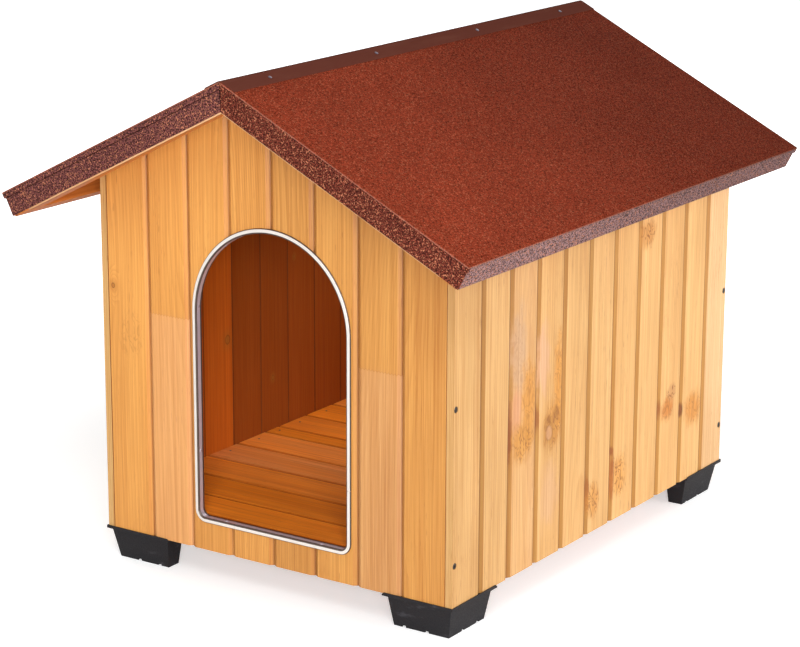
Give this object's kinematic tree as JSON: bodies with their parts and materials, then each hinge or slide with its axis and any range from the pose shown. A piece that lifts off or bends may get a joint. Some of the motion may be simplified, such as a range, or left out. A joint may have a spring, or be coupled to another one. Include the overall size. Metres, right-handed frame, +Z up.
{
  "type": "dog house",
  "caption": "Wooden dog house with an arched metal-edged doorway, plastic feet and a felted gable roof that hinges open sideways on a slotted stay.",
  "frame": {"origin": "centre of the roof's footprint, on the ground plane under the feet", "axes": "+Z up, -Y out of the doorway, +X to the right when looking at the doorway from the front"},
  "size_m": [0.5938, 0.722, 0.5746],
  "materials": {
    "pine_front": "oiled honey-orange matchboard, satin",
    "pine_left": "oiled matchboard, satin",
    "pine_right": "oiled honey-orange matchboard, satin, in full light",
    "pine_rear": "oiled matchboard panel, satin",
    "pine_frame": "planed battens, oiled",
    "pine_floor": "oiled floor boards",
    "pine_deck": "roof deck board, oiled",
    "roof_felt": "red-brown roofing felt with mineral granules, matte",
    "cap_metal": "dark brown coated sheet, semi-matt",
    "edging_aluminium": "bright anodised profile",
    "foot_plastic": "black moulded plastic, fine grain",
    "zinc_steel": "zinc-plated steel"
  },
  "bodies": {
    "house": {"front_board_1": "pine_front", "front_board_2": "pine_front", "front_board_3": "pine_front", "front_board_4_upper": "pine_front", "front_board_4_lower": "pine_front", "front_board_5_upper": "pine_front", "front_board_5_lower": "pine_front", "front_board_6": "pine_front", "front_board_7": "pine_front", "front_board_8": "pine_front", "left_board_1": "pine_left", "left_board_2": "pine_left", "left_board_3": "pine_left", "left_board_4": "pine_left", "left_board_5": "pine_left", "left_board_6": "pine_left", "left_board_7": "pine_left", "left_board_8": "pine_left", "left_board_9": "pine_left", "left_board_10": "pine_left", "left_board_11": "pine_left", "right_board_1": "pine_right", "right_board_2": "pine_right", "right_board_3": "pine_right", "right_board_4": "pine_right", "right_board_5": "pine_right", "right_board_6": "pine_right", "right_board_7": "pine_right", "right_board_8": "pine_right", "right_board_9": "pine_right", "right_board_10": "pine_right", "right_board_11": "pine_right", "rear_wall_panel": "pine_rear", "corner_post_front_left": "pine_frame", "corner_post_front_right": "pine_frame", "corner_post_rear_left": "pine_frame", "corner_post_rear_right": "pine_frame", "floor_panel": "pine_floor", "door_edging": "edging_aluminium", "foot_front_left": "foot_plastic", "foot_front_right": "foot_plastic", "foot_rear_left": "foot_plastic", "foot_rear_right": "foot_plastic", "hinge_leaf_wall": "zinc_steel", "stay_stud": "zinc_steel"},
    "roof": {"roof_deck_left": "pine_deck", "eave_batten_left": "pine_frame", "verge_batten_front_left": "pine_frame", "verge_batten_rear_left": "pine_frame", "roof_felt_left": "roof_felt", "roof_deck_right": "pine_deck", "eave_batten_right": "pine_frame", "verge_batten_front_right": "pine_frame", "verge_batten_rear_right": "pine_frame", "roof_felt_right": "roof_felt", "ridge_cap": "cap_metal", "hinge_leaf_roof": "zinc_steel", "stay_rafter": "pine_frame"},
    "stay": {"stay_arm": "zinc_steel"}
  },
  "joints": [
    {"name": "roof_hinge", "type": "hinge", "parent": "house", "child": "roof", "pos_m": [-0.233, 0.022, 0.4385], "axis": [0, -1, 0], "range_deg": [0, 42]},
    {"name": "stay_pivot", "type": "hinge", "parent": "roof", "child": "stay", "pos_m": [-0.13028, -0.2665, 0.49021], "axis": [0, -1, 0], "range_deg": [-21, 0]}
  ],
  "couplings": [
    {"joint": "stay_pivot", "follows": "roof_hinge", "ratio": -0.5}
  ]
}
